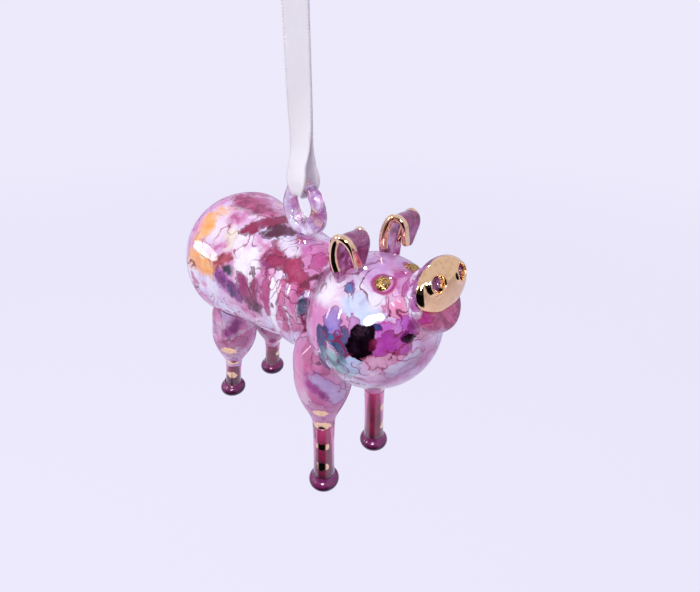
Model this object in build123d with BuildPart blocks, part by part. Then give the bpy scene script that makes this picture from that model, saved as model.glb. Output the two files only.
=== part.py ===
from build123d import *
import os
from math import acos, asin, atan2, cos, degrees, pi, radians, sin, sqrt

# A blown-glass pig ornament that hangs by a satin ribbon from a glass ring on its back.
# Millimetres. The origin is the hang point, where a hook bears under the ribbon's knot. The pig faces -Y,
# its left is +X and Z is up. Every height is given as a rise above the soles of its feet.

os.makedirs("parts", exist_ok=True)

hang_height = 136.0
sole_z = -hang_height
body_wall = 1.1

# Body bubble: two balls joined by a straight cone
body_rise = 60.6
rump_y = 28.0
rump_radius = 21.6
chest_y = -5.0
chest_radius = 16.1

# Head bubble with its upturned muzzle
head_y = -27.0
head_rise = 62.6
head_radius = 17.7
head_wall = 1.6
muzzle_pitch = 38.5
muzzle_root_angle = 44.0
muzzle_reach = 24.2
muzzle_radius = 8.2
muzzle_round = 4.0

# Snout disc, its middle above the muzzle's end
snout_lift = 3.1
snout_pitch = 12.0
snout_width = 16.8
snout_height = 12.2
snout_thickness = 4.8
snout_rim_radius = 1.8
nostril_side = 4.1
nostril_lift = 1.9
nostril_radius = 1.5
nostril_lip_radius = 0.45

# Eyes and ears sit where a line from the head's centre, through a place beside and above it, leaves the head
eye_side = 5.5
eye_forward = 7.1
eye_up = 16.2
eye_radius = 2.3
eye_sink = 1.2
ear_side = 8.2
ear_back = 2.8
ear_up = 16.4

# Ears: leaves that rise, curl forward and hang, their edges curled towards the inside of the fold
ear_height = 11.4
ear_width = 7.8
ear_thickness = 1.3
ear_splay = 6.0
ear_forward_shares = (0.00, -0.05, 0.01, 0.21, 0.41, 0.46, 0.43)
ear_up_shares = (-0.16, 0.22, 0.66, 0.94, 0.86, 0.62, 0.36)
ear_root_share = 0.20
ear_tip_share = 0.92
ear_cup_share = 0.20
ear_fold_cup_share = 0.05
ear_stages = 12

# Legs, front under the chest ball and hind under the rump ball
front_foot_side = 11.6
hind_foot_side = 9.6
front_foot_aft_share = -0.857
hind_foot_aft_share = 0.50
front_hip_side = 10.3
hind_hip_side = 8.05
front_hip_aft_share = -0.832
hind_hip_aft_share = 0.169
front_hip_sink = 6.5
hind_hip_sink = 1.0
front_shank_radius = 3.35
hind_shank_radius = 3.0
front_shank_length = 24.4
hind_shank_length = 14.0
front_thigh_radius = 8.2
hind_thigh_radius = 7.8
front_calf_length = 18.0
hind_calf_length = 16.0
calf_mid_length_share = 0.44
front_calf_mid_radius_share = 0.71
hind_calf_mid_radius_share = 0.70
thigh_wall = 1.3
foot_radius = 4.8
foot_half_height = 3.2
foot_rise = 2.8

# Glass hanging ring
ring_rise = 86.0
ring_radius = 5.9
ring_bar_radius = 2.0
ring_foot_radius = 4.4
ring_foot_top_radius = 2.2
ring_foot_rise = 74.0

# Tail
tail_lift_angle = 20.0
tail_curl_radius = 2.6
tail_bar_radius = 0.95
tail_root_radius = 1.7
tail_tilt = 30.0
tail_turn = 300.0

# Ribbon
ribbon_width = 6.0
ribbon_thickness = 0.4
ribbon_slack = 0.4
ribbon_layer_gap = 0.2
ribbon_wrap = 33.0
ribbon_twist = 45.6
ribbon_turn_rise = 116.0
ribbon_stage_shares = (0.00, 0.26, 0.36, 0.48, 0.60, 0.74, 0.88, 1.00)
ribbon_spread_shares = (1.00, 1.00, 0.72, 0.26, 0.05, 0.00, 0.00, 0.00)
ribbon_twist_shares = (0.00, 0.00, 0.10, 0.28, 0.48, 0.70, 0.88, 1.00)
joint_gap = 0.4
knot_radius = 3.2
knot_height = 5.6
knot_round = 1.2
tail_end_length = 9.0
tail_end_lean = 16.0

body_z = sole_z + body_rise
body_axis = Axis((0, 0, body_z), (0, 1, 0))
body_plane = Plane(origin=(0, 0, body_z), x_dir=(0, 1, 0), z_dir=(-1, 0, 0))


def pear_outline(skin):
    """Half outline of the body bubble, `skin` inside its outer face, with the tail end at +x."""
    lean = degrees(acos((rump_radius - chest_radius) / (rump_y - chest_y)))
    rump = CenterArc((rump_y, 0), rump_radius - skin, 0, lean)
    chest = CenterArc((chest_y, 0), chest_radius - skin, lean, 180 - lean)
    Line(rump @ 1, chest @ 0)
    Line(chest @ 1, rump @ 0)


# Solid form of the body bubble, which every neighbour is trimmed to
with BuildPart() as body_form:
    with BuildSketch(body_plane):
        with BuildLine():
            pear_outline(0)
        make_face()
    revolve(axis=body_axis)

# Body shell
with BuildPart() as body_shell:
    add(body_form.part)
    with BuildSketch(body_plane):
        with BuildLine():
            pear_outline(body_wall)
        make_face()
    revolve(axis=body_axis, mode=Mode.SUBTRACT)
body_shell.part.label = "body_shell"
export_step(body_shell.part, "parts/body_shell.step")

head_centre = Vector(0, head_y, sole_z + head_rise)
muzzle_direction = Vector(0, -cos(radians(muzzle_pitch)), sin(radians(muzzle_pitch)))
head_axis = Axis(head_centre, muzzle_direction)
head_plane = Plane(origin=head_centre, x_dir=muzzle_direction, z_dir=(1, 0, 0))


def head_outline(skin):
    """Half outline of the head bubble, `skin` inside its outer face, with the muzzle at +x."""
    ball = CenterArc((0, 0), head_radius - skin, muzzle_root_angle, 180 - muzzle_root_angle)
    muzzle_tip = (muzzle_reach - skin, muzzle_radius - skin)
    flank = TangentArc(ball @ 0, muzzle_tip, tangent=(ball % 0) * -1)
    Line(flank @ 1, (muzzle_reach - skin, 0))
    Line((muzzle_reach - skin, 0), ball @ 1)


def muzzle_corner(sketch):
    """The corner of the head's half outline where the muzzle's flank meets its end."""
    return sketch.vertices().group_by(Axis.X)[-1].sort_by(Axis.Y)[-1]


# Solid form of the head bubble
with BuildPart() as head_form:
    with BuildSketch(head_plane) as head_profile:
        with BuildLine():
            head_outline(0)
        make_face()
        fillet(muzzle_corner(head_profile), muzzle_round)
    revolve(axis=head_axis)

# Snout disc: a domed button, squashed to an oval, with two lipped nostrils
snout_radius = snout_width / 2
rim_reach = snout_radius - snout_rim_radius
dome_depth = snout_thickness - snout_rim_radius
dome_radius = (rim_reach**2 + dome_depth**2 - snout_rim_radius**2) / (2 * (dome_depth - snout_rim_radius))
dome_angle = degrees(atan2(dome_radius - dome_depth, rim_reach))
with BuildPart() as snout_button:
    with BuildSketch(Plane.XZ):
        with BuildLine():
            dome_centre = (0, snout_thickness - dome_radius)
            rim = CenterArc((rim_reach, snout_rim_radius), snout_rim_radius, -90, 90 + dome_angle)
            dome = CenterArc(dome_centre, dome_radius, dome_angle, 90 - dome_angle)
            Polyline(dome @ 1, (0, 0), rim @ 0)
        make_face()
    revolve(axis=Axis.Z)
    scale(by=(1, snout_height / snout_width, 1))

snout_out = (0, -cos(radians(snout_pitch)), sin(radians(snout_pitch)))
snout_middle = head_centre + muzzle_direction * muzzle_reach + Vector(0, 0, snout_lift)
snout_plane = Plane(origin=snout_middle, x_dir=(1, 0, 0), z_dir=snout_out).offset(-snout_thickness / 2)


def dome_height(along, up):
    """Height of the snout's domed front above its back, at a place on its face."""
    stretched = up * snout_width / snout_height
    return sqrt(dome_radius**2 - along**2 - stretched**2) - dome_radius + snout_thickness


nostril_depth = dome_height(nostril_side, nostril_lift)
nostril_places = [(side * nostril_side, nostril_lift, nostril_depth) for side in (-1, 1)]
with BuildPart() as snout_disc:
    with Locations(snout_plane):
        add(snout_button.part)
        with Locations(*nostril_places):
            Torus(nostril_radius + nostril_lip_radius / 2, nostril_lip_radius)
            Sphere(nostril_radius, mode=Mode.SUBTRACT)
snout_disc.part.label = "snout_disc"
export_step(snout_disc.part, "parts/snout_disc.step")

# Head shell: hollow, open to the body where it is fused on, and trimmed to the snout disc
with BuildPart() as head_shell:
    add(head_form.part)
    with BuildSketch(head_plane) as head_hollow:
        with BuildLine():
            head_outline(head_wall)
        make_face()
        fillet(muzzle_corner(head_hollow), muzzle_round - head_wall)
    revolve(axis=head_axis, mode=Mode.SUBTRACT)
    add(body_form.part, mode=Mode.SUBTRACT)
    with Locations(snout_plane):
        add(snout_button.part, mode=Mode.SUBTRACT)
head_shell.part.label = "head_shell"
export_step(head_shell.part, "parts/head_shell.step")


def on_head(side, forward, up):
    """The place on the head, and the way out of it, on a line from its centre."""
    return head_form.part.find_intersection_points(Axis(head_centre, (side, -forward, up)))[-1]


# Eyes: flat domes of glass pressed on the forehead
for name, side in (("left", 1), ("right", -1)):
    eye_place, eye_out = on_head(side * eye_side, eye_forward, eye_up)
    with BuildPart() as eye:
        with Locations(eye_place - eye_out * eye_sink):
            Sphere(eye_radius)
        add(head_form.part, mode=Mode.SUBTRACT)
    eye.part.label = f"eye_{name}"
    export_step(eye.part, f"parts/eye_{name}.step")


def ear_spine(side):
    """The middle line of an ear, from below its root to its tip."""
    root, _ = on_head(side * ear_side, -ear_back, ear_up)
    outward = side * sin(radians(ear_splay))
    places = zip(ear_forward_shares, ear_up_shares)
    return Spline(*[root + Vector(outward * up, -forward, up) * ear_height for forward, up in places])


# Ears
for name, side in (("left", 1), ("right", -1)):
    spine = ear_spine(side)
    with BuildPart() as ear:
        for stage in range(ear_stages + 1):
            along = stage / ear_stages
            width = ear_width * sin(pi * (ear_root_share + (ear_tip_share - ear_root_share) * along))
            cup = width * (ear_fold_cup_share + ear_cup_share * (1 - sin(pi * along)))
            cup_radius = (width**2 / 4 + cup**2) / (2 * cup)
            half_angle = degrees(asin(width / 2 / cup_radius))
            section = CenterArc((0, -cup_radius), cup_radius, 90 - half_angle, 2 * half_angle)
            with BuildSketch(Plane(origin=spine @ along, x_dir=(1, 0, 0), z_dir=spine % along)):
                SlotArc(section, ear_thickness)
        loft()
        add(head_form.part, mode=Mode.SUBTRACT)
    ear.part.label = f"ear_{name}"
    export_step(ear.part, f"parts/ear_{name}.step")



def thigh_outline(skin):
    """Half outline of a thigh, `skin` inside its outer face, with the leg's length along +y."""
    low = (shank_radius - skin, shank_length + skin)
    middle = (calf_mid_radius - skin, shank_length + calf_mid_length_share * calf_length)
    high = (thigh_radius - skin, shank_length + calf_length)
    calf = Spline(low, middle, high, tangents=((0, 1), (0, 1)))
    crown = CenterArc((0, hip_length), thigh_radius - skin, 0, 90)
    Line(calf @ 1, crown @ 0)
    Polyline(crown @ 1, (0, shank_length + skin), calf @ 0)


# Each pair of legs: its name, where it stands, its shank, its thigh and its calf
front_place = (chest_y, chest_radius, front_foot_side, front_foot_aft_share)
hind_place = (rump_y, rump_radius, hind_foot_side, hind_foot_aft_share)
front_hip = (front_hip_side, front_hip_aft_share, front_hip_sink)
hind_hip = (hind_hip_side, hind_hip_aft_share, hind_hip_sink)
front_form = (front_shank_radius, front_shank_length, front_thigh_radius, front_calf_length)
hind_form = (hind_shank_radius, hind_shank_length, hind_thigh_radius, hind_calf_length)
leg_pairs = (
    ("front", front_place, front_hip, front_form, front_calf_mid_radius_share),
    ("hind", hind_place, hind_hip, hind_form, hind_calf_mid_radius_share),
)

# Legs: a hollow thigh drawn out of the body, a solid rod below it and a flattened bead as the foot
for leg, place, hip, form, calf_mid_radius_share in leg_pairs:
    ball_y, ball_radius, foot_side, foot_aft_share = place
    hip_side, hip_aft_share, hip_sink = hip
    shank_radius, shank_length, thigh_radius, calf_length = form
    calf_mid_radius = calf_mid_radius_share * thigh_radius
    foot_y = ball_y + foot_aft_share * ball_radius
    hip_y = ball_y + hip_aft_share * ball_radius
    for name, side in (("left", 1), ("right", -1)):
        foot_place = Vector(side * foot_side, foot_y, sole_z + foot_rise)
        hip_place = Vector(side * hip_side, hip_y, body_z - ball_radius + hip_sink)
        hip_length = (hip_place - foot_place).length
        leg_axis = Axis(foot_place, hip_place - foot_place)
        leg_plane = Plane(origin=foot_place, z_dir=leg_axis.direction)
        flank_plane = Plane(origin=foot_place, x_dir=leg_plane.x_dir, z_dir=leg_plane.y_dir * -1)
        with BuildPart() as shank:
            with BuildSketch(leg_plane):
                Circle(shank_radius)
            extrude(amount=shank_length)
        shank.part.label = f"shank_{leg}_{name}"
        export_step(shank.part, f"parts/{shank.part.label}.step")

        with BuildPart() as trotter:
            with BuildSketch(Plane.XZ.offset(-foot_y)) as bead:
                with Locations((side * foot_side, foot_place.Z)):
                    Ellipse(foot_radius, foot_half_height)
                with Locations((side * foot_side, sole_z)):
                    keep = (Align.MIN, Align.MIN)
                    Rectangle(2 * foot_radius, 4 * foot_half_height, align=keep, mode=Mode.INTERSECT)
            revolve(axis=Axis(foot_place, (0, 0, 1)))
            add(shank.part, mode=Mode.SUBTRACT)
        trotter.part.label = f"trotter_{leg}_{name}"
        export_step(trotter.part, f"parts/{trotter.part.label}.step")

        with BuildPart() as thigh:
            with BuildSketch(flank_plane):
                with BuildLine():
                    thigh_outline(0)
                make_face()
            revolve(axis=leg_axis)
            with BuildSketch(flank_plane):
                with BuildLine():
                    thigh_outline(thigh_wall)
                make_face()
            revolve(axis=leg_axis, mode=Mode.SUBTRACT)
            add(body_form.part, mode=Mode.SUBTRACT)
            add(head_form.part, mode=Mode.SUBTRACT)
        thigh.part.label = f"thigh_{leg}_{name}"
        export_step(thigh.part, f"parts/{thigh.part.label}.step")

# Hanging ring: a clear rod bent to a ring, on a flared foot on the back
ring_centre = Vector(0, 0, sole_z + ring_rise)
ring_foot_height = ring_rise - ring_radius - ring_foot_rise
with BuildPart() as hanging_ring:
    with Locations(Plane(origin=ring_centre, z_dir=(1, 0, 0))):
        Torus(ring_radius, ring_bar_radius)
    with Locations(Plane.XY.offset(sole_z + ring_foot_rise)):
        cone_base = (Align.CENTER, Align.CENTER, Align.MIN)
        Cone(ring_foot_radius, ring_foot_top_radius, ring_foot_height, align=cone_base)
    add(body_form.part, mode=Mode.SUBTRACT)
hanging_ring.part.label = "hanging_ring"
export_step(hanging_ring.part, "parts/hanging_ring.step")

# Tail: a rod curled round most of a turn, standing on a small blob at the back of the rump
tail_out = Vector(0, cos(radians(tail_lift_angle)), sin(radians(tail_lift_angle)))
tail_seat = Vector(0, rump_y, body_z) + tail_out * rump_radius
tail_plane = Plane(origin=tail_seat, x_dir=(1, 0, 0), z_dir=tail_out)
curl_lift = tail_bar_radius + tail_curl_radius * sin(radians(tail_tilt))
curl_plane = tail_plane.offset(curl_lift).rotated((tail_tilt, 0, 0))
curl_start = curl_plane.origin - curl_plane.y_dir * tail_curl_radius
with BuildPart() as tail:
    with BuildSketch(Plane(origin=curl_start, x_dir=curl_plane.y_dir, z_dir=curl_plane.x_dir)):
        Circle(tail_bar_radius)
    revolve(axis=Axis(curl_plane.origin, curl_plane.z_dir), revolution_arc=tail_turn)
    with Locations(curl_start):
        Sphere(tail_root_radius)
    add(body_form.part, mode=Mode.SUBTRACT)
tail.part.label = "tail"
export_step(tail.part, "parts/tail.step")

# Ribbon bight: the satin folded under the ring's bar and up on both sides of it
bight_inner = ring_bar_radius + ribbon_slack
bight_outer = bight_inner + ribbon_thickness
wrap = radians(ribbon_wrap)
bight_plane = Plane(origin=ring_centre, x_dir=(1, 0, 0), z_dir=(0, -cos(wrap), sin(wrap)))
with BuildPart() as ribbon_bight:
    with BuildSketch(bight_plane):
        with Locations((0, ring_radius)):
            Circle(bight_outer)
            Circle(bight_inner, mode=Mode.SUBTRACT)
            below = (Align.CENTER, Align.MAX)
            Rectangle(2 * bight_outer, bight_outer, align=below, mode=Mode.INTERSECT)
    revolve(axis=Axis(ring_centre, (1, 0, 0)), revolution_arc=2 * ribbon_wrap)
ribbon_bight.part.label = "ribbon_bight"
export_step(ribbon_bight.part, "parts/ribbon_bight.step")

# Lower strands: they rise beside the bar, close up above it and turn to face the view
close_offset = (ribbon_thickness + ribbon_layer_gap) / 2
open_offset = bight_inner + ribbon_thickness / 2
turn_height = ribbon_turn_rise - ring_rise
for name, side in (("left", 1), ("right", -1)):
    with BuildPart() as lower_strand:
        for stage, spread, twist in zip(ribbon_stage_shares, ribbon_spread_shares, ribbon_twist_shares):
            angle = twist * ribbon_twist
            offset_out = side * (close_offset + spread * (open_offset - close_offset))
            face = Vector(cos(radians(angle)), sin(radians(angle)), 0)
            place = ring_centre + Vector(0, 0, stage * turn_height) + face * offset_out
            with BuildSketch(Plane(origin=place, x_dir=face, z_dir=(0, 0, 1))):
                Rectangle(ribbon_thickness, ribbon_width)
        loft(ruled=True)
        with Locations(Plane(origin=ring_centre, z_dir=(1, 0, 0))):
            Cylinder(ring_radius, 4 * open_offset, mode=Mode.SUBTRACT)
    lower_strand.part.label = f"ribbon_lower_{name}"
    export_step(lower_strand.part, f"parts/{lower_strand.part.label}.step")

# Upper strands: straight up to the knot, a running gap above the lower ones and below the knot
twist_face = Vector(cos(radians(ribbon_twist)), sin(radians(ribbon_twist)), 0)
upper_bottom = sole_z + ribbon_turn_rise + joint_gap
for name, side in (("left", 1), ("right", -1)):
    with BuildPart() as upper_strand:
        place = twist_face * (side * close_offset) + Vector(0, 0, upper_bottom)
        with BuildSketch(Plane(origin=place, x_dir=twist_face, z_dir=(0, 0, 1))):
            Rectangle(ribbon_thickness, ribbon_width)
        extrude(amount=-joint_gap - upper_bottom)
    upper_strand.part.label = f"ribbon_upper_{name}"
    export_step(upper_strand.part, f"parts/{upper_strand.part.label}.step")

# Knot: a rounded lump on the hang point, with the ribbon's two short ends above it
with BuildPart() as ribbon_knot:
    Cylinder(knot_radius, knot_height, align=(Align.CENTER, Align.CENTER, Align.MIN))
    fillet(ribbon_knot.edges(), knot_round)
    for side in (-1, 1):
        lean_direction = twist_face * (side * sin(radians(tail_end_lean))) + Vector(0, 0, 1)
        across = twist_face.cross(Vector(0, 0, 1))
        place = twist_face * (side * close_offset) + Vector(0, 0, knot_height - knot_round)
        with BuildSketch(Plane(origin=place, x_dir=across, z_dir=lean_direction)):
            Rectangle(ribbon_width, ribbon_thickness)
        extrude(amount=tail_end_length)
ribbon_knot.part.label = "ribbon_knot"
export_step(ribbon_knot.part, "parts/ribbon_knot.step")
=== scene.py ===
from math import acos, asin, atan2, copysign, cos, exp, hypot, pi, radians, sin, sqrt

import bmesh
import bpy
import numpy as np
from mathutils import Matrix, Vector, noise


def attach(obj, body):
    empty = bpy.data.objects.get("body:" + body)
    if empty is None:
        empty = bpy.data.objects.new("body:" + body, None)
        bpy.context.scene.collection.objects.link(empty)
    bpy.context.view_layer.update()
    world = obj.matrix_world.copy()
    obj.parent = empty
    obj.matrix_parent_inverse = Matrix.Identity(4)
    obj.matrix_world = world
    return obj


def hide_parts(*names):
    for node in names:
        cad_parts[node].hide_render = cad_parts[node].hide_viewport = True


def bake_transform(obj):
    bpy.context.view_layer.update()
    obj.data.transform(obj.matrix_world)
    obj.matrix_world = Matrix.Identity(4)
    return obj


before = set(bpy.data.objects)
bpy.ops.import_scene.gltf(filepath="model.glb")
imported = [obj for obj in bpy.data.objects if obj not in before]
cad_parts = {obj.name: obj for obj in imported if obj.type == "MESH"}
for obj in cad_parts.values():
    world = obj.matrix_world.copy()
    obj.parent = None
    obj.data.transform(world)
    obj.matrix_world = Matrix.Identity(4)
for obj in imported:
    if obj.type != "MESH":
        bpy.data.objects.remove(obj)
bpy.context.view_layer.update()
MM = 0.001
SIDES = ("left", 1), ("right", -1)
scene = bpy.context.scene


def placed(name, data):
    """A new object in the scene."""
    made = bpy.data.objects.new(name, data)
    scene.collection.objects.link(made)
    return made


# Camera: the photograph's place and angle, fitted to its picture
YAW, PITCH, ROLL = radians(44.45), radians(30.87), radians(-0.68)
FOCAL_PX, PICTURE_PX, SENSOR_MM = 451.56, 700, 36
CAMERA_AT = (-0.07257, -0.09190, -0.00832)
ahead = Vector((sin(YAW) * cos(PITCH), cos(YAW) * cos(PITCH), -sin(PITCH)))
level = Vector((cos(YAW), -sin(YAW), 0))
down = ahead.cross(level)
right = level * cos(ROLL) + down * sin(ROLL)
up = level * sin(ROLL) - down * cos(ROLL)
lens = bpy.data.cameras.new("camera")
lens.sensor_fit = "HORIZONTAL"
lens.sensor_width = SENSOR_MM
lens.lens = SENSOR_MM * FOCAL_PX / PICTURE_PX
lens.clip_start = 0.002
lens.clip_end = 20
camera = placed("camera", lens)
camera.matrix_world = Matrix.Translation(CAMERA_AT) @ Matrix((right, up, -ahead)).transposed().to_4x4()
scene.camera = camera
scene.view_settings.view_transform = "Standard"


def frozen(thing):
    """The mesh of a curve, or of an object with its modifiers applied."""
    return bpy.data.meshes.new_from_object(thing.evaluated_get(bpy.context.evaluated_depsgraph_get()))


def circle(count):
    """Angles once round."""
    return np.linspace(0, 2 * pi, count, endpoint=False)


def rgb(code):
    """Linear colour of a hex code."""
    parts = [int(code[i:i + 2], 16) / 255 for i in (0, 2, 4)]
    return [c / 12.92 if c <= 0.04045 else ((c + 0.055) / 1.055) ** 2.4 for c in parts] + [1]


class Nodes:
    """Short calls to build the nodes of a tree."""

    def __init__(self, tree):
        self.tree = tree

    def feed(self, socket, value):
        if isinstance(value, bpy.types.NodeSocket):
            self.tree.links.new(value, socket)
        elif value is not None:
            socket.default_value = value

    def node(self, kind, values=(), out=0, **props):
        made = self.tree.nodes.new("ShaderNode" + kind)
        for key, value in props.items():
            setattr(made, key, value)
        for key, value in (values.items() if isinstance(values, dict) else enumerate(values)):
            self.feed(made.inputs[key], value)
        return made.outputs[out]

    def math(self, operation, a, b=None):
        return self.node("Math", (a, b), operation=operation)

    def plus(self, a, b):
        return self.math("ADD", a, b)

    def minus(self, a, b):
        return self.math("SUBTRACT", a, b)

    def times(self, a, b):
        return self.math("MULTIPLY", a, b)

    def vec(self, operation, a, b=None, scale=None):
        out = 1 if operation in ("LENGTH", "DOT_PRODUCT") else 0
        return self.node("VectorMath", {0: a, 1: b, 3: scale}, out, operation=operation)

    def span(self, value, low, high, to_low=0, to_high=1):
        """Smooth step from one range to another; without clamp, which makes long chains of nodes too deep."""
        values = (value, low, high, to_low, to_high)
        return self.node("MapRange", values, interpolation_type="SMOOTHSTEP", clamp=False)

    def mix(self, share, a, b):
        values = {0: share, 6: rgb(a) if isinstance(a, str) else a, 7: rgb(b) if isinstance(b, str) else b}
        return self.node("Mix", values, 2, data_type="RGBA")

    def split(self, vector):
        made = self.tree.nodes.new("ShaderNodeSeparateXYZ")
        self.feed(made.inputs[0], vector)
        return made.outputs


class Look(Nodes):
    """A procedural material with one Principled shader; its places are in millimetres."""

    def __init__(self, name, rough, coat=(0, 0.03), ior=1.5, **others):
        self.material = bpy.data.materials.new(name)
        self.material.use_nodes = True
        super().__init__(self.material.node_tree)
        self.shader = self.tree.nodes["Principled BSDF"]
        self.set(Roughness=rough, Coat_Weight=coat[0], Coat_Roughness=coat[1], IOR=ior, **others)
        self.at = self.vec("SCALE", self.node("TexCoord", out="Object"), scale=1000)

    def set(self, **values):
        for key, value in values.items():
            self.feed(self.shader.inputs[key.replace("_", " ")], value)

    def stored(self, name):
        """A value that tag() stored on the piece's points."""
        return self.node("Attribute", out=2, attribute_name=name)

    def cloud(self, scale, detail=3, where=None, rough=0.5, out=0, distort=0):
        values = {"Vector": self.at if where is None else where, "Scale": scale, "Detail": detail,
                  "Roughness": rough, "Distortion": distort}
        return self.node("TexNoise", values, out)

    def ramp(self, value, stops):
        made = self.tree.nodes.new("ShaderNodeValToRGB")
        places = made.color_ramp.elements
        while len(places) < len(stops):
            places.new(0.5)
        for place, (where, colour) in zip(places, stops):
            place.position = where
            place.color = rgb(colour)
        self.feed(made.inputs[0], value)
        return made.outputs[0]

    def warp(self, amount, scale, detail=2, where=None):
        """Coordinates pushed about by a cloud."""
        base = self.at if where is None else where
        push = self.vec("SUBTRACT", self.cloud(scale, detail, base, out=1), (0.5, 0.5, 0.5))
        return self.vec("ADD", base, self.vec("SCALE", push, scale=amount))

    def bump(self, height, distance, strength=1.0):
        self.set(Normal=self.node("Bump", {"Height": height, "Distance": distance, "Strength": strength}))


def blank(name, verts, faces, body, look, node=None):
    """A smooth piece from points in millimetres."""
    data = bpy.data.meshes.new(name)
    data.from_pydata([tuple(c * MM for c in v) for v in verts], [], [tuple(f) for f in faces])
    data.shade_smooth()
    data.materials.append(look.material)
    piece = placed(name, data)
    if body:
        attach(piece, body)
    if node:
        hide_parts(node)
    return piece


def tag(piece, name, values):
    """A value on every point, which a material reads."""
    layer = piece.data.attributes.new(name, "FLOAT", "POINT")
    layer.data.foreach_set("value", np.array(values, np.float32))


def tube_piece(name, rings, look, node, caps=0, tags=None, near=1e-7):
    """A piece of the pig through rings of points, with a face over none, the first or both of its ends."""
    rows, n = len(rings), len(rings[0])
    faces = [(i * n + j, i * n + (j + 1) % n, (i + 1) * n + (j + 1) % n, (i + 1) * n + j)
             for i in range(rows - 1) for j in range(n)]
    faces += [range(n)[::-1], range((rows - 1) * n, rows * n)][:caps]
    piece = blank(name, [p for ring in rings for p in ring], faces, "pig", look, node)
    for key, values in (tags or {}).items():
        tag(piece, key, values)
    work = bmesh.new()
    work.from_mesh(piece.data)
    bmesh.ops.remove_doubles(work, verts=work.verts, dist=near)
    bmesh.ops.recalc_face_normals(work, faces=work.faces)
    work.to_mesh(piece.data)
    work.free()
    return piece


# Ribbon: its route is the CAD's
RING = Vector((0, 0, -50))
RING_R, BAR_R = 5.9, 2.0
BAR_Z = RING.z + RING_R
TWIST = radians(45.6)
STRAND_RISE, UNDER_BAR, HALF_GAP = 30, 2.6, 0.3
STAGES = (0.26, 0.36, 0.48, 0.60, 0.74, 0.88, 1.00)
SPREADS = (1.00, 0.72, 0.26, 0.05, 0.00, 0.00, 0.00)
TWISTS = (0.00, 0.10, 0.28, 0.48, 0.70, 0.88, 1.00)
RIBBON_WIDE, RIBBON_THICK = 6.0, 0.38


def strand_route(side):
    """Control points of one strand, from under the ring's bar to the knot."""
    route = [Vector((0, 0, BAR_Z - UNDER_BAR)), Vector((2.1 * side, 0, BAR_Z - UNDER_BAR)),
             Vector((UNDER_BAR * side, 0, BAR_Z - 1.6)), Vector((UNDER_BAR * side, 0, BAR_Z))]
    for stage, spread, twist in zip(STAGES, SPREADS, TWISTS):
        out = side * (HALF_GAP + spread * (UNDER_BAR - HALF_GAP))
        turned_to = twist * TWIST
        route.append(RING + Vector((cos(turned_to) * out, sin(turned_to) * out, stage * STRAND_RISE)))
    for z in (-13, -6, -0.4):
        route.append(Vector((cos(TWIST) * HALF_GAP * side, sin(TWIST) * HALF_GAP * side, z)))
    return route


def nurbs_points(route):
    """Points read from the smooth line that has the route's points as its control points."""
    data = bpy.data.curves.new("route", "CURVE")
    data.dimensions = "3D"
    data.resolution_u = 12
    spline = data.splines.new("NURBS")
    spline.points.add(len(route) - 1)
    for point, place in zip(spline.points, route):
        point.co = (*(place * MM), 1)
    spline.order_u = 3
    spline.use_endpoint_u = True
    line = placed("route", data)
    points = [v.co / MM for v in frozen(line).vertices]
    bpy.data.objects.remove(line)
    return points


satin = Look("satin", 0.42, Sheen_Weight=0.35, Sheen_Roughness=0.3)
across, along = satin.stored("across"), satin.stored("along")
weave = satin.math("SINE", satin.times(along, 42))
ribs = satin.math("SINE", satin.times(across, 58))
edge = satin.span(satin.math("ABSOLUTE", across), 2.45, 2.75)
picot = satin.times(edge, satin.math("SINE", satin.times(along, 9.5)))
shade = satin.mix(satin.cloud(0.25, 2), "fdfbfe", "f6f0f9")
satin.set(Base_Color=satin.mix(satin.times(edge, 0.35), shade, "d8cfdc"))
height = satin.plus(satin.plus(satin.times(weave, 0.25), satin.times(ribs, 0.35)), satin.times(picot, 1.6))
satin.bump(satin.plus(height, satin.times(satin.cloud(0.6, 2), 1.5)), 0.00004, 0.7)


def strip(name, points, sides, width=RIBBON_WIDE, thick=RIBBON_THICK, steps=12, bend=None):
    """A flat ribbon along points; sides gives its width's direction at each of them."""
    grid, cross, length = [], [], [0.0]
    for a, b in zip(points, points[1:]):
        length.append(length[-1] + (b - a).length)
    for i, point in enumerate(points):
        for j in range(steps + 1):
            s = (j / steps - 0.5) * width
            place = point + sides[i] * s
            if bend:
                place = bend(point, place, s)
            grid.append(place)
            cross.append(s)
    rows, row = len(points), steps + 1
    normal = []
    for i in range(rows):
        for j in range(row):
            a = grid[min(i + 1, rows - 1) * row + j] - grid[max(i - 1, 0) * row + j]
            b = grid[i * row + min(j + 1, steps)] - grid[i * row + max(j - 1, 0)]
            normal.append(a.cross(b).normalized())
    half = [thick / 2 * (1.0 if 0 < j < steps else 0.55) for _ in range(rows) for j in range(row)]
    upper = [g + n * h for g, n, h in zip(grid, normal, half)]
    lower = [g - n * h for g, n, h in zip(grid, normal, half)]
    n = len(grid)
    faces = []
    for i in range(rows - 1):
        for a in range(i * row, i * row + steps):
            faces += [(a, a + 1, a + row + 1, a + row), (n + a, n + a + row, n + a + row + 1, n + a + 1)]
        a, b = i * row, i * row + steps
        faces += [(a, a + row, n + a + row, n + a), (n + b, n + b + row, b + row, b)]
    faces += [(n + a, n + a + 1, a + 1, a) for a in range(steps)]
    faces += [(a, a + 1, n + a + 1, n + a) for a in range(n - row, n - 1)]
    piece = blank(name, upper + lower, faces, None, satin)
    tag(piece, "across", cross * 2)
    tag(piece, "along", [length[i] for i in range(rows) for _ in range(row)] * 2)
    return piece


def twist_at(z):
    """How far the ribbon's width has turned at a height."""
    return float(np.interp((z - RING.z) / STRAND_RISE, STAGES, TWISTS)) * TWIST


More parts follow.
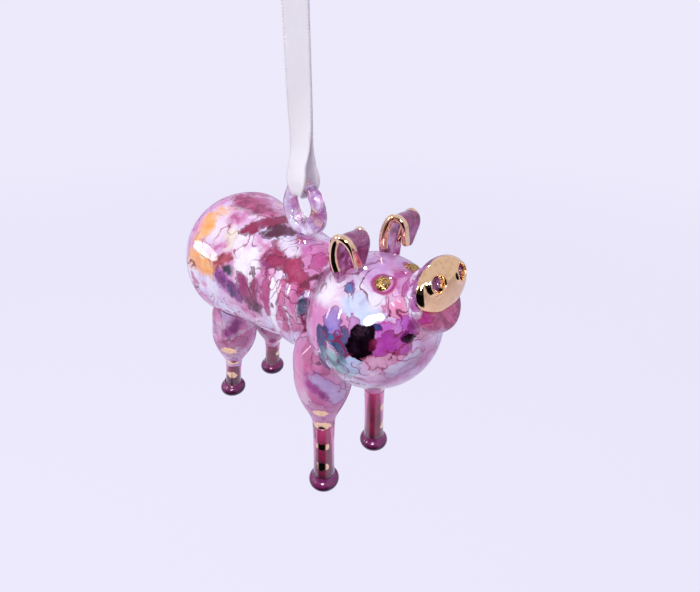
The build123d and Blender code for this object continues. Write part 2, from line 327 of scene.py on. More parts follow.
def round_bar(point, place, s):
    """Under the bar the ribbon's width follows the ring's bend."""
    share = max(0.0, min(1.0, (-38.5 - point.z) / 5.0))
    reach = point.z - RING.z
    curved = Vector((point.x, reach * sin(s / RING_R), RING.z + reach * cos(s / RING_R)))
    return place.lerp(curved, share * share * (3 - 2 * share))


strands = {}
for name, side in SIDES:
    points = nurbs_points(strand_route(side))
    sides = [Vector((-sin(twist_at(p.z)), cos(twist_at(p.z)), 0)) for p in points]
    strands[name] = strip(f"ribbon_strand_{name}", points, sides, bend=round_bar), points

# Knot: an overhand turn of the same ribbon, and its two short ends
KNOT_STEPS, KNOT_SIZE, KNOT_Z, KNOT_WAVE = 96, 0.62, 2.9, 0.85
knot_line = [Vector(((sin(a) + 2 * sin(2 * a)) * KNOT_SIZE, (cos(a) - 2 * cos(2 * a)) * KNOT_SIZE,
                     KNOT_Z - sin(3 * a) * KNOT_WAVE)) for a in np.linspace(0, 2 * pi, KNOT_STEPS + 1)]
knot_sides = []
for k, p in enumerate(knot_line):
    onward = (knot_line[(k + 1) % KNOT_STEPS] - knot_line[(k or KNOT_STEPS) - 1]).normalized()
    knot_sides.append(Vector((p.x, p.y, 0)).normalized().cross(onward).normalized())
knot = strip("ribbon_knot_turns", knot_line, knot_sides, width=3.1, thick=1.1, steps=8)
face_out = Vector((cos(TWIST), sin(TWIST), 0))
width_way = Vector((-sin(TWIST), cos(TWIST), 0))
UP = Vector((0, 0, 1))
ends = []
for name, side in SIDES:
    line = [face_out * side * (HALF_GAP + 2.6 * t ** 1.4) + UP * (4.2 + 8.6 * t - 0.5 * t * t)
            + width_way * side * 0.3 * t for t in [k / 16 for k in range(17)]]
    turn = [(width_way * cos(0.25 * k / 16) + UP * 0.08 * side).normalized() for k in range(17)]
    ends.append(strip(f"ribbon_end_{name}", line, turn, width=5.6))
for piece in (knot, *ends):
    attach(piece, "hanger")
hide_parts("ribbon_knot")
for name, goes_with in (("left", [knot, *ends]), ("right", [])):
    piece, points = strands[name]
    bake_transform(piece)
    bight = ["ribbon_bight"] if name == "left" else []
    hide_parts(f"ribbon_upper_{name}", f"ribbon_lower_{name}", *bight)

# Forms shared with the CAD, in millimetres
BODY_Z = -75.4
RUMP, CHEST = (28.0, 21.6), (-5.0, 16.1)
HEAD = Vector((0, -27.0, -73.4))
HEAD_R = 17.7
HEAD_AXIS = Vector((0, -cos(radians(38.5)), sin(radians(38.5))))


def body_gap(p):
    """Distance from the body bubble's skin; rows of points."""
    t, r = RUMP[0] - p[:, 1], np.hypot(p[:, 0], p[:, 2] - BODY_Z)
    run = RUMP[0] - CHEST[0]
    sin_a = (RUMP[1] - CHEST[1]) / run
    cos_a = sqrt(1 - sin_a * sin_a)
    s = t * cos_a - r * sin_a
    cone = t * sin_a + r * cos_a - RUMP[1]
    ahead_of_rump = np.where(s > run * cos_a, np.hypot(t - run, r) - CHEST[1], cone)
    return np.where(s < 0, np.hypot(t, r) - RUMP[1], ahead_of_rump)


def head_gap(p):
    """Distance from the head's ball."""
    return np.linalg.norm(p - np.array(HEAD), axis=1) - HEAD_R


def smooth_corner(a, corner, b, steps=10):
    """Points from a to b, on a curve that bends towards the corner."""
    return [tuple((1 - t) ** 2 * a[k] + 2 * t * (1 - t) * corner[k] + t * t * b[k] for k in (0, 1))
            for t in np.linspace(0, 1, steps)]


def turned(name, outline, origin, axis, look, node=None, turns=112, rows=90, wall=0, stop=None,
           flare=(0, 1)):
    """A piece of the pig turned about an axis from (along, radius) points; hollow if it has a wall.

    It ends where stop turns negative, at its neighbour's skin, and flares out by (height, reach) before it.
    """
    line = np.array(outline, float)
    steps = np.r_[0, np.cumsum(np.linalg.norm(np.diff(line, axis=0), axis=1))]
    steps /= steps[-1]
    axis = Vector(axis).normalized()
    e1 = axis.orthogonal().normalized()
    e2 = axis.cross(e1)
    o, az, ax, ay = (np.array(v, float) for v in (origin, axis, e1, e2))
    angles = circle(turns)

    def at(s, a):
        x, r = np.interp(s, steps, line[:, 0]), np.interp(s, steps, line[:, 1])
        return o + np.outer(x, az) + (np.cos(a) * r)[:, None] * ax + (np.sin(a) * r)[:, None] * ay

    limit = np.ones(turns)
    if stop:
        fine = np.linspace(0.3, 1, 281)
        for k, a in enumerate(angles):
            gaps = stop(at(fine, np.full(len(fine), a)))
            inside = np.nonzero(gaps < 0)[0]
            if len(inside) and inside[0] > 0:
                i = inside[0]
                limit[k] = fine[i - 1] + (fine[i] - fine[i - 1]) * gaps[i - 1] / (gaps[i - 1] - gaps[i])
    u = np.linspace(0, 1, rows)
    skin = np.array([at(limit[k] * u, np.full(rows, a)) for k, a in enumerate(angles)])
    du = np.gradient(skin, axis=1)
    da = np.roll(skin, -1, 0) - np.roll(skin, 1, 0)
    normal = np.cross(da, du)
    size = np.linalg.norm(normal, axis=2, keepdims=True)
    normal /= np.where(size < 1e-9, 1, size)
    middle = skin.mean(axis=(0, 1))
    if np.sum(normal * (skin - middle)) < 0:
        normal = -normal
    for end in (0, rows - 1):
        if size[:, end].max() < 1e-6:
            normal[:, end] = normal[:, 1 if end == 0 else rows - 2].mean(axis=0)
            normal[:, end] /= np.linalg.norm(normal[0, end])
    if stop and flare[0]:
        near = stop(skin.reshape(-1, 3)).reshape(turns, rows)
        push = flare[0] * np.clip(1 - near / flare[1], 0, 1) ** 2
        skin = skin + normal * push[..., None]
    layers = [skin] + ([skin - normal * wall] if wall else [])
    verts = np.concatenate([layer.reshape(-1, 3) for layer in layers])
    faces = []
    for layer in range(len(layers)):
        base = layer * turns * rows
        for k in range(turns):
            for i in range(rows - 1):
                a, b = base + k * rows + i, base + (k + 1) % turns * rows + i
                faces.append((a, b, b + 1, a + 1) if layer == 0 else (a, a + 1, b + 1, b))
    for end in (0, rows - 1):
        if size[:, end].max() > 1e-6:
            rim = [k * rows + end for k in range(turns)]
            if wall:
                n = turns * rows
                for a, b in zip(rim, rim[1:] + rim[:1]):
                    faces.append((a, a + n, b + n, b) if end == 0 else (a, b, b + n, a + n))
            else:
                faces.append(rim if end == 0 else rim[::-1])
    piece = blank(name, verts, faces, "pig", look, node)
    work = bmesh.new()
    work.from_mesh(piece.data)
    bmesh.ops.remove_doubles(work, verts=work.verts, dist=1e-7)
    if work.calc_volume(signed=True) < 0:
        bmesh.ops.reverse_faces(work, faces=work.faces)
    work.to_mesh(piece.data)
    work.free()
    return piece


# Ink in the glass: palette of the marbling
WHITE, LILAC, BLUSH, PINK = "f3edfb", "dccaf0", "e6b3d8", "d67fb9"
MAGENTA, CRIMSON, PLUM = "b932a2", "96204c", "4e1030"
ORANGE, CREAM, SKY, TEAL = "f7a255", "ecdfc4", "c3d0f8", "6f9db4"
NAVY, SLATE, BLACK, ROSE = "2b3168", "565a80", "12040f", "c25a90"


def pool_colours(tint):
    """How light a pool's ink is, and its thin and its thick parts; dark inks range further."""
    light = sum(rgb(tint)[:3]) / 3
    pale = [c + (1 - c) * (0.22 if light < 0.3 else 0.34) * (c ** 0.5) for c in rgb(tint)]
    deep = [c * (0.55 if light < 0.4 else 0.8) for c in rgb(tint)[:3]] + [1]
    return light, pale, deep


def ink(name, pools, ground, seed, mirror=6.0, blur=0.0):
    """Marbled ink in clear glass. A pool is (end, end, radius, colour, rim colour, softness), in mm."""
    look = Look(name, 0.03)
    shift = look.vec("ADD", look.at, (seed, seed * 2, 0))
    flow = shift
    for amount, scale, detail in ((5.0, 0.075, 3), (1.5, 0.4, 2), (0.35, 1.6, 2)):
        flow = look.warp(amount, scale, detail, flow)
    colour = look.ramp(look.cloud(0.06, 4, flow, 0.6), ground)
    milk = look.cloud(0.13, 4, flow, 0.55, distort=0.4)
    colour = look.mix(look.span(milk, 0.50, 0.60, 0, 0.75), colour, PINK)
    colour = look.mix(look.span(milk, 0.47, 0.38, 0, 0.6), colour, WHITE)
    blots = look.cloud(0.09, 3, flow, 0.5, distort=0.8)
    colour = look.mix(look.span(blots, 0.55, 0.64, 0, 0.8), colour, ROSE)

    # The far side has the near side's pools, moved along and pulled about by the clouds
    x, y, z = look.split(look.vec("SUBTRACT", flow, (seed, seed * 2, 0)))
    far = look.span(x, -1, 7)
    place = look.node("CombineXYZ", (look.times(look.math("ABSOLUTE", x), -1),
                                     look.plus(y, look.times(far, mirror)),
                                     look.minus(z, look.times(far, mirror * 0.4))))

    # The pools' outlines wobble and have lobes, and their ink lies thick, thin or torn
    lobes = look.node("TexVoronoi", {"Vector": flow, "Scale": 0.62})
    wobble = look.plus(look.times(look.minus(look.cloud(0.3, 3, flow, 0.55), 0.5), 2.1),
                       look.times(look.minus(lobes, 0.45), 0.4))
    depth = look.cloud(0.3, 4, flow, 0.6)
    veil = look.cloud(0.16, 3, flow, 0.6)
    for start, end, radius, tint, rim, soft in pools:
        from_start = look.vec("SUBTRACT", place, start)
        if start != end:
            run = Vector(end) - Vector(start)
            along = look.math("DIVIDE", look.vec("DOT_PRODUCT", from_start, tuple(run)), run.length_squared)
            along = look.math("MINIMUM", look.math("MAXIMUM", along, 0), 1)
            from_start = look.vec("SUBTRACT", from_start, look.vec("SCALE", tuple(run), scale=along))
        away = look.math("DIVIDE", look.vec("LENGTH", from_start), radius)
        away = look.plus(away, look.times(wobble, min(1.0, 2.0 / radius)))
        soft += blur
        light, pale, deep = pool_colours(tint)
        wash = look.mix(look.span(depth, 0.36, 0.62), deep if light < 0.4 and not rim else rgb(tint), pale)
        wash = look.mix(look.span(away, 0.45, 0.95, 0, 0.55 if rim else 0.0), wash, deep)
        inside = look.times(look.span(away, 1.02 + 0.35 * soft, 0.96 - 0.7 * soft),
                            look.span(veil, 0.36, 0.52, 0.9 if light < 0.3 else 0.6, 1.0))
        colour = look.mix(inside, colour, wash)
        line = look.times(look.span(away, 0.84, 0.97), look.span(away, 1.06, 0.98))
        colour = look.mix(look.times(line, 0.8 if rim else 0.3 * (1 - blur)), colour, rim or deep)

    # Thin threads of ink along a cloud's contours
    field = look.cloud(0.075, 2, flow, 0.5)
    gate = look.cloud(0.1, 2, shift)
    for level, tint, strength in ((0.42, CRIMSON, 0.8), (0.5, "8e2f78", 0.8), (0.57, "6e1c44", 0.85)):
        thread = look.math("ABSOLUTE", look.minus(field, level))
        line = look.times(look.span(thread, 0.011, 0.002), look.span(gate, 0.40, 0.55, 0, strength))
        colour = look.mix(line, colour, tint)
    return look, colour


# Body bubble
look, colour = ink("ink_body", [
    ((2, 30, -54), (-3, 36, -58), 4.5, "cf6fa8", None, 0.6),
    ((-13, 24, -59.5), (-14, 24, -62), 3.4, "ecd5ea", None, 0.6),
    ((-12.5, 19, -59.5), (-15, 17, -63), 2.2, CREAM, None, 0.8),
    ((-14, 12, -61), (-15, 9, -65.5), 5.2, WHITE, None, 0.3),
    ((-9, 28, -56.5), (-18.5, 29.5, -64.5), 2.5, "f9ae68", None, 0.8),
    ((-13.5, 29, -58.5), (-15, 28, -60), 3.2, ORANGE, None, 0.4),
    ((-20, 30, -69), (-20, 21, -69.5), 3.6, "f8a660", None, 0.6),
    # This cream dot between the orange pools is partly pale ink and partly a painted soft reflection on the
    # rump.
    ((-19.5, 25, -67.5), (-19.5, 25, -67.5), 1.5, CREAM, None, 0.8),
    ((-18.8, 18.5, -67.8), (-17.5, 15.5, -65.5), 2.3, "b03a4c", None, 0.4),
    ((-19.6, 17, -72), (-19, 10.5, -74.8), 2.9, "9a3f95", None, 0.35),
    ((-18.4, 13.8, -68.7), (-18.4, 13.8, -69.5), 2.1, "4a4058", None, 0.5),
    ((-20, 15, -73.5), (-19.6, 12, -76), 1.2, NAVY, None, 0.7),
    ((-1.5, 27, -54.3), (0.5, 17, -55.5), 4.8, "b33a70", None, 0.45),
    ((-4, 11, -57), (-2, 8, -57), 2.6, "b54a90", None, 0.5),
    ((-10.5, 15.5, -58.5), (-0.5, 11, -56.5), 2.5, "8e1546", PLUM, 0.15),
    ((-6, 8.5, -57.8), (-1, 5.5, -57.6), 2.7, "561438", BLACK, 0.25),
    ((-7.5, 4.5, -59), (-10.8, -0.5, -62.5), 2.6, "98204c", PLUM, 0.2),
    ((-9.5, 6, -61), (-12.5, 2.5, -64), 2.2, ROSE, None, 0.6),
    ((-11.5, 1, -63), (-10, -6, -62.6), 2.4, "931c4c", PLUM, 0.15),
    ((-9.4, -5.5, -62.2), (-11.3, -10.5, -65), 2.7, "a62a58", PLUM, 0.1),
    ((-17.9, 9, -69.5), (-18.4, 6, -75.5), 2.6, "96326a", PLUM, 0.3),
    ((-15.9, 5.2, -65.5), (-17.8, 4.2, -74), 2.1, "852a50", PLUM, 0.2),
    ((-15.2, 2.6, -67), (-17.2, 1.4, -75), 1.6, "c2609b", None, 0.4),
    ((-14.6, 0.2, -66), (-16.5, -1.5, -75.5), 1.6, "ab4379", CRIMSON, 0.3),
    ((-14.8, -3.4, -67), (-15.5, -5, -79), 1.7, WHITE, CRIMSON, 0.15),
    ((-13.9, -6.5, -66.5), (-14.8, -9, -77), 1.6, "c25a8c", CRIMSON, 0.2),
    ((-12.8, -9.5, -66.5), (-13.9, -12, -76), 1.5, "d277ab", CRIMSON, 0.3),
    ((-18.2, 6, -75.5), (-17.5, 3, -77), 2.4, "521534", None, 0.7),
    ((-7, -2.5, -60), (-5.5, 2, -59.3), 3.0, "efe4fa", None, 0.35),
    ((0, -1.5, -59), (-3, -7, -60), 3.2, "d670b5", None, 0.6),
    ((-3.5, -9, -60.3), (-6.5, -10.5, -61.6), 1.9, "c2478e", CRIMSON, 0.3),
    ((-8.4, -15.2, -66.5), (-8.4, -15.2, -69), 3.0, "efe4fa", ROSE, 0.3),
    ((-11.2, -11.6, -65), (-2.5, -13.6, -62.3), 0.8, "6a1636", None, 0.2),
    ((-12.2, -13.5, -69), (-12.6, -13.8, -71.5), 1.3, "4d5273", None, 0.4),
    ((-12, -14.5, -74), (-12, -15.5, -79), 2.4, "cf5f97", None, 0.5),
    ((-6, 38, -57), (-9, 44, -64), 3.4, ROSE, CRIMSON, 0.3),
    ((-4, 47, -70), (-8, 45, -80), 3.4, WHITE, PINK, 0.4),
    ((-3, 49, -66), (-9, 46, -72), 3.0, "931c4c", PLUM, 0.3),
    ((-12, 43, -64), (-15, 40, -70), 3.4, "c9b2ef", None, 0.5),
    ((-16, 40, -74), (-14, 44, -80), 2.4, "561438", BLACK, 0.25),
    ((-6, 47, -88), (-2, 44, -91), 2.6, "8e2f78", PLUM, 0.3),
    ((-1, 38, -56), (-3, 44, -60), 2.6, "b0305c", PLUM, 0.3),
    ((-10, 37, -93), (-4, 32, -96), 3.0, "c9b2ef", None, 0.5),
    ((-14, 40, -80), (-17, 36, -84), 3.2, "b5449a", PLUM, 0.3),
    ((-5, 48, -86), (-10, 42, -90), 3.0, ORANGE, None, 0.5),
    ((-10, 10, -94), (-4, 22, -96.5), 3.6, BLUSH, MAGENTA, 0.4),
    ((-15, 30, -90), (-9, 38, -92), 2.8, "b84e83", PLUM, 0.3),
], [(0.32, WHITE), (0.42, LILAC), (0.52, BLUSH), (0.62, PINK), (0.74, ROSE)], 3, blur=0.22)
look.set(Base_Color=colour)
lean = acos((RUMP[1] - CHEST[1]) / (RUMP[0] - CHEST[0]))
pear = [(ball[0] + ball[1] * cos(a), ball[1] * sin(a))
        for ball, low, high in ((RUMP, 0, lean), (CHEST, lean, pi)) for a in np.linspace(low, high, 60)]
turned("body_bubble", pear, (0, 0, BODY_Z), (0, 1, 0), look, "body_shell", wall=1.1,
       rows=120, turns=128)

# Head bubble and muzzle
look, colour = ink("ink_head", [
    ((0, -29, -55.8), (-4, -31, -56), 5.0, "cc98d8", None, 0.8),
    ((-1, -35.8, -54.9), (-4, -40, -56.5), 2.4, "b9529f", MAGENTA, 0.4),
    ((-11.2, -19.5, -62), (-12.5, -26, -61), 4.6, "f1e8fb", None, 0.5),
    ((-12, -31, -61.5), (-12.5, -34.5, -62.5), 3.6, SKY, None, 0.6),
    ((-8.3, -38.2, -58.8), (-7, -40.5, -60), 3.0, "e886b6", ROSE, 0.5),
    ((-10.6, -40, -66), (-8.3, -43.2, -64.2), 3.4, "c765cc", MAGENTA, 0.3),
    ((-11.3, -40, -69), (-8.6, -42.8, -68.6), 3.0, "b13fa6", CRIMSON, 0.25),
    ((-16.2, -28.2, -66), (-16.4, -30, -67.5), 2.6, "8a70c4", "7d2a72", 0.2),
    ((-17.3, -26.8, -69.5), (-17.5, -28, -74.5), 2.1, NAVY, "5e1a4c", 0.3),
    ((-16.7, -30.6, -69.0), (-16.6, -31.6, -70.5), 1.8, "356fa3", NAVY, 0.4),
    ((-15.6, -32.7, -67), (-16.2, -32.3, -72), 2.0, "554a7c", "3c1c4a", 0.3),
    ((-17.6, -26.5, -77), (-17, -27, -80), 1.8, SLATE, NAVY, 0.4),
    ((-17.2, -30.2, -75), (-16.4, -32.7, -77.5), 3.3, "86a9b8", None, 0.5),
    ((-15.9, -35, -73.4), (-15.9, -34.7, -75.5), 2.2, "b5c3ee", TEAL, 0.4),
    ((-14.1, -33.2, -64.6), (-14.4, -33.8, -66), 1.9, "bd7fbf", CRIMSON, 0.1),
    ((-11.6, -37.7, -64.4), (-12.2, -37.2, -64.6), 1.3, "3d3f7d", CRIMSON, 0.2),
    ((-13.9, -36.2, -66.8), (-14.8, -35.8, -69.8), 3.0, "0d020c", "2d0520", 0.05),
    ((-12.4, -38.3, -67.4), (-12.6, -38.2, -68.5), 0.9, "6d1238", None, 0.3),
    ((-12.8, -39, -73), (-9, -42.2, -72.8), 2.6, "dd98c0", CRIMSON, 0.2),
    ((-5, -44, -73), (-9, -41, -76), 2.8, "dccbec", ROSE, 0.3),
    ((0, -49, -62.5), (-6, -47.6, -61.8), 3.4, "b9507f", None, 0.5),
    ((-0.5, -48, -66.5), (-4, -47, -66), 2.4, "d78fb5", ROSE, 0.5),
    ((-7.8, -44.4, -66.8), (-7.9, -46.6, -62.4), 1.0, "6a0f3c", PLUM, 0.2),
    ((-8.0, -43.7, -67.6), (-7.4, -44.4, -67.4), 1.5, "1c0512", PLUM, 0.2),
    ((-8.6, -43.3, -68.5), (-11, -41.5, -71.4), 0.6, "931c4c", None, 0.1),
    ((-7.7, -46.8, -61.6), (-6.5, -47.6, -60.5), 1.7, "ad2a80", CRIMSON, 0.4),
    ((-14.5, -33, -80.5), (-10.5, -38.5, -79), 0.45, "7a2c50", None, 0.2),
    ((-14, -30, -83.6), (-13.2, -34.5, -81.5), 0.9, "5e2440", None, 0.3),
    ((-10.1, -27.2, -58.9), (-10.4, -28, -59.4), 1.5, "3c68a8", NAVY, 0.3),
    ((-6.8, -44.5, -57), (-4, -47, -55), 2.2, "bd66b0", MAGENTA, 0.4),
], [(0.32, WHITE), (0.45, LILAC), (0.55, BLUSH), (0.68, PINK)], 11, mirror=1.0, blur=0.06)
x, y, z = look.split(look.at)
eye_at = look.node("CombineXYZ", (look.math("ABSOLUTE", x), y, z))
from_eye = look.vec("LENGTH", look.vec("SUBTRACT", eye_at, (5.6, -34.3, -57.0)))
from_eye = look.plus(from_eye, look.cloud(0.4, 2))
halo = look.times(look.span(from_eye, 2.5, 2.9), look.span(from_eye, 3.9, 3.2))
colour = look.mix(look.span(from_eye, 4.0, 2.8, 0, 0.7), colour, "cf7fb2")
colour = look.mix(look.times(halo, 0.9), colour, "a82a70")

# The jowl, the throat and the chin are clear
x, y, z = look.split(look.warp(5.0, 0.12))
front = look.plus(look.times(y, -0.8), look.times(z, -0.6))
clear = look.math("MAXIMUM", look.span(z, -81.5, -88.0), look.span(y, -22.5, -17.0))
clear = look.math("MAXIMUM", clear, look.span(front, 77.5, 81.5, 0, 0.9))
colour = look.mix(look.times(look.span(z, -79.5, -86.0), 0.7), colour, "f6ecfd")
look.set(Base_Color=colour, Transmission_Weight=look.times(clear, 0.9))

# The muzzle's flank leaves the ball at an angle off the axis, and is an arc up to the tip
FLANK_START, FLANK_CUT = radians(36.5), 9
MUZZLE_REACH, MUZZLE_R, MUZZLE_FLAT_R = 24.2, 8.2, 4.4
ball = [(HEAD_R * cos(a), HEAD_R * sin(a)) for a in np.linspace(FLANK_START, pi, 90)]
foot_of, tip = np.array(ball[0]), np.array((MUZZLE_REACH, MUZZLE_R))
side_way = np.array((cos(FLANK_START), sin(FLANK_START)))
bow = np.dot(tip - foot_of, tip - foot_of) / (2 * np.dot(side_way, tip - foot_of))
middle = foot_of + side_way * bow
a0, a1 = (atan2(*(p - middle)[::-1]) for p in (foot_of, tip))
flank = [tuple(middle + abs(bow) * np.array((cos(a), sin(a)))) for a in np.linspace(a1, a0, 30)]
muzzle = [(MUZZLE_REACH, r) for r in np.linspace(0, MUZZLE_FLAT_R, 8)][:-1]
muzzle += smooth_corner((MUZZLE_REACH, MUZZLE_FLAT_R), (MUZZLE_REACH, 8.1), flank[FLANK_CUT], 12)
turned("head_bubble", muzzle + flank[FLANK_CUT + 1:-1] + ball, HEAD, HEAD_AXIS, look,
       "head_shell", wall=1.6, rows=130, turns=128, stop=body_gap, flare=(0.35, 1.8))

# Legs
look_thigh, colour = ink("ink_thigh", [
    ((-15, -22, -86), (-11, -26, -92), 3.0, "cdb0ea", "a03b9b", 0.4),
    ((-17, -21, -88), (-14, -25, -92), 1.2, MAGENTA, None, 0.6),
    ((-16, -22, -96), (-9, -26, -97), 2.6, "cf63a8", MAGENTA, 0.4),
    ((-18, -18, -82), (-17, -16, -96), 2.4, "e58cc0", None, 0.6),
    ((-12, 25, -95), (-14, 27, -99), 2.6, "b234a0", None, 0.7),
    ((-10, 27, -103), (-14, 31, -106), 3.0, "c5639f", CRIMSON, 0.4),
    ((-15, 28, -92), (-9, 25, -90), 2.4, "cdb0ea", None, 0.6),
    ((-14, 34, -98), (-9, 38, -104), 3.0, "cf7fc2", MAGENTA, 0.5),
], [(0.32, "efc6f0"), (0.46, "ec9ad2"), (0.58, "e672b0"), (0.70, "cc4694")], 23, blur=0.22)


def gilded(look, colour, gilt, gold="fbd5aa", through=0.0):
    """Gold lustre over glass wherever `gilt` is one; elsewhere light goes through by a share."""
    leaf = look.mix(look.span(look.cloud(0.9, 3), 0.4, 0.8), gold, "e4b67e")
    look.set(Base_Color=look.mix(gilt, colour, leaf), Metallic=gilt,
             Transmission_Weight=look.times(look.minus(1.0, gilt), through))


def leafed(look):
    """Where the gold leaf lies, from the stored spots and a ragged edge."""
    return look.span(look.plus(look.stored("gilt"), look.times(look.cloud(0.8, 4), 0.9)), 0.93, 0.98)


gilded(look_thigh, look_thigh.mix(0.1, colour, "ffe0fa"), leafed(look_thigh), through=0.25)
look_shank = Look("shank_glass", 0.04, (0.6, 0.02))
tint = look_shank.mix(look_shank.cloud(0.12, 3), "e688b8", "cc5c92")
gilded(look_shank, tint, leafed(look_shank), through=0.92)
look_core = Look("core_glass", 0.3)
core = look_core.ramp(look_core.cloud(0.25, 3, look_core.warp(3, 0.3)),
                      [(0.34, "26021a"), (0.44, "6c0432"), (0.58, "860840"), (0.72, "a01a52")])
up_core = look_core.span(look_core.split(look_core.at)[2], -122, -108)
look_core.set(Base_Color=look_core.mix(up_core, core, "d884a8"))
look_foot = Look("foot_glass", 0.04)
# The trotter bead is painted darker towards its sole and lighter at its top: painted shade.
foot_shade_by_height = look_foot.span(look_foot.split(look_foot.warp(1.5, 0.5))[2], -136, -130.5)
look_foot.set(Base_Color=look_foot.ramp(
    foot_shade_by_height, [(0.0, "1c0413"), (0.4, "2a0620"), (0.62, "3e0e30"), (0.85, "7c2c62")]))


def cubic(xs, ys, count):
    """Smooth line through three points, level at both ends."""
    h1, h2 = xs[1] - xs[0], xs[2] - xs[1]
    slopes = 0, 3 * ((ys[1] - ys[0]) / h1 ** 2 + (ys[2] - ys[1]) / h2 ** 2) / (2 / h1 + 2 / h2), 0
    line = []
    for x in np.linspace(xs[0], xs[2], count):
        i = 0 if x < xs[1] else 1
        h = xs[i + 1] - xs[i]
        t = (x - xs[i]) / h
        line.append((x, (2 * t ** 3 - 3 * t ** 2 + 1) * ys[i] + (t ** 3 - 2 * t ** 2 + t) * h * slopes[i]
                     + (3 * t ** 2 - 2 * t ** 3) * ys[i + 1] + (t ** 3 - t ** 2) * h * slopes[i + 1]))
    return line


# Each pair: its name, foot, hip, shank radius and length, thigh radius, calf length, calf share, and the
# heights of its gilt spots
LEGS = (
    ("front", (11.6, -18.8, -133.2), (10.3, -18.4, -85.0), 3.35, 24.4, 8.2, 18.0, 0.71,
     (8.7, 17.2, 26.3, 34.0)),
    ("hind", (9.6, 38.8, -133.2), (8.05, 31.65, -96.0), 3.0, 14.0, 7.8, 16.0, 0.70, (9.0, 16.6, 26.0)),
)
SPOT_POWER = 2.6
CORE_R, CORE_START = 1.35, 1.2
FOOT_R, FOOT_HALF, SOLE_R, SOLE_DEEP = 4.8, 3.2, 2.1, 2.8


def gild(piece, spots):
    """Store how near each point is to a gilt spot: a place, and its half height and half width."""
    near = np.zeros(len(piece.data.vertices))
    places = np.array([v.co for v in piece.data.vertices]) / MM
    for place, high, wide in spots:
        off = places - np.array(place)
        away = ((np.abs(off[:, 2]) / high) ** SPOT_POWER
                + (np.hypot(off[:, 0], off[:, 1]) / wide) ** SPOT_POWER) ** (1 / SPOT_POWER)
        near = np.maximum(near, np.clip(1.3 - 0.8 * away, 0, 1))
    tag(piece, "gilt", near)


def hip_gap(p):
    """Distance from just inside the body's and the head's skins."""
    return np.minimum(body_gap(p), head_gap(p)) + 0.7


for leg, foot, hip, shank_r, shank_l, thigh_r, calf_l, mid, gilt_heights in LEGS:
    for name, side in SIDES:
        base = Vector((foot[0] * side, foot[1], foot[2]))
        top = Vector((hip[0] * side, hip[1], hip[2]))
        axis = (top - base).normalized()
        reach = (top - base).length
        calf = cubic((shank_l, shank_l + 0.44 * calf_l, shank_l + calf_l),
                     (shank_r, mid * thigh_r, thigh_r), 30)
        crown = [(reach + thigh_r * sin(a), thigh_r * cos(a)) for a in np.linspace(0, pi / 2, 30)]
        thigh = turned(f"thigh_glass_{leg}_{name}", calf + crown, base, axis, look_thigh,
                       f"thigh_{leg}_{name}", wall=1.3, rows=70, turns=80, stop=hip_gap, flare=(0.9, 3.6))
        waist = [(x, shank_r * (1 - 0.05 * sin(pi * (x - 2.2) / (shank_l - 2.2))))
                 for x in np.linspace(2.3, shank_l - 0.1, 40)]
        rod = [(2.2, 0), (2.2, shank_r)] + waist + [(shank_l, shank_r), (shank_l, 0)]
        shank = turned(f"shank_rod_{leg}_{name}", rod, base, axis, look_shank,
                       f"shank_{leg}_{name}", rows=110, turns=72)

        # Gold leaf on the side that the photo shows
        out = Vector((-0.75, -0.66, 0)) if side < 0 else Vector((0.55, -0.83, 0))
        leaves = [(base + axis * h + out * (np.interp(h, *np.array(calf).T) if h > shank_l else shank_r),
                   1.5 + 0.2 * sin(h), 2.3 + 0.3 * sin(2 * h)) for h in gilt_heights]
        gild(shank, leaves)
        gild(thigh, leaves)
        taper = [(x, CORE_R * (1 - 0.3 * ((x - CORE_START) / (shank_l - 2)) ** 3))
                 for x in np.linspace(1.4, shank_l - 1.2, 20)]
        turned(f"shank_core_{leg}_{name}", [(CORE_START, 0)] + taper + [(shank_l - 0.8, 0)], base, axis,
               look_core, rows=50, turns=40)
        bulge = [(FOOT_HALF * sin(a), FOOT_R * cos(a)) for a in np.linspace(-1.05, 0.72, 30)]
        bead = [(-SOLE_DEEP, 0), (-SOLE_DEEP, SOLE_R)] + bulge + [(2.55, shank_r + 0.25), (3.3, shank_r)]
        turned(f"foot_bead_{leg}_{name}", bead, base, (0, 0, 1), look_foot,
               f"trotter_{leg}_{name}", rows=50, turns=64)

# Hanging ring: a lumpy rod bent round, thicker below, on a foot that flares into the back
look = Look("clear_glass", 0.02, (0.6, 0.01), 1.48, Transmission_Weight=0.95)
tone = look.ramp(look.cloud(0.17, 3, look.warp(4, 0.2)),
                 [(0.36, "fcf8fe"), (0.50, "ecd6f2"), (0.58, "c58ccd"), (0.66, "f3c9a0")])
look.set(Base_Color=tone)
ASIDE = Vector((1, 0, 0))
rings = []
for a in np.linspace(0, 2 * pi, 145):
    outward = Vector((0, sin(a), cos(a)))
    bar = BAR_R * (1 + 0.10 * sin(3 * a + 1) + 0.07 * sin(5 * a)) - (0.15 if cos(a) > 0.7 else 0)
    bar += 0.5 * max(0.0, 0.3 - cos(a)) / 1.3
    rings.append([RING + outward * RING_R + (outward * cos(b) + ASIDE * sin(b)) * bar for b in circle(40)])
ring_piece = tube_piece("ring_glass", rings, look, "hanging_ring")
foot_line = [(0, 0), (0, 4.9), (1.0, 4.5), (2.0, 3.3), (3.4, 2.5), (5.4, 2.2), (6.2, 1.6), (6.4, 0)]
ring_foot = turned("ring_foot", foot_line, (0, 0, -62.0), (0, 0, 1), look, rows=50, turns=64)
work = bmesh.new()
for part in (ring_piece, ring_foot):
    work.from_mesh(part.data)
work.to_mesh(ring_piece.data)
work.free()
bpy.data.objects.remove(ring_foot)
remesh = ring_piece.modifiers.new("one skin", "REMESH")
remesh.mode = "VOXEL"
remesh.voxel_size = 0.00022
relax = ring_piece.modifiers.new("relax", "SMOOTH")
relax.iterations = 12
relax.factor = 0.6
ring_piece.data = frozen(ring_piece)
ring_piece.modifiers.clear()
ring_piece.data.shade_smooth()

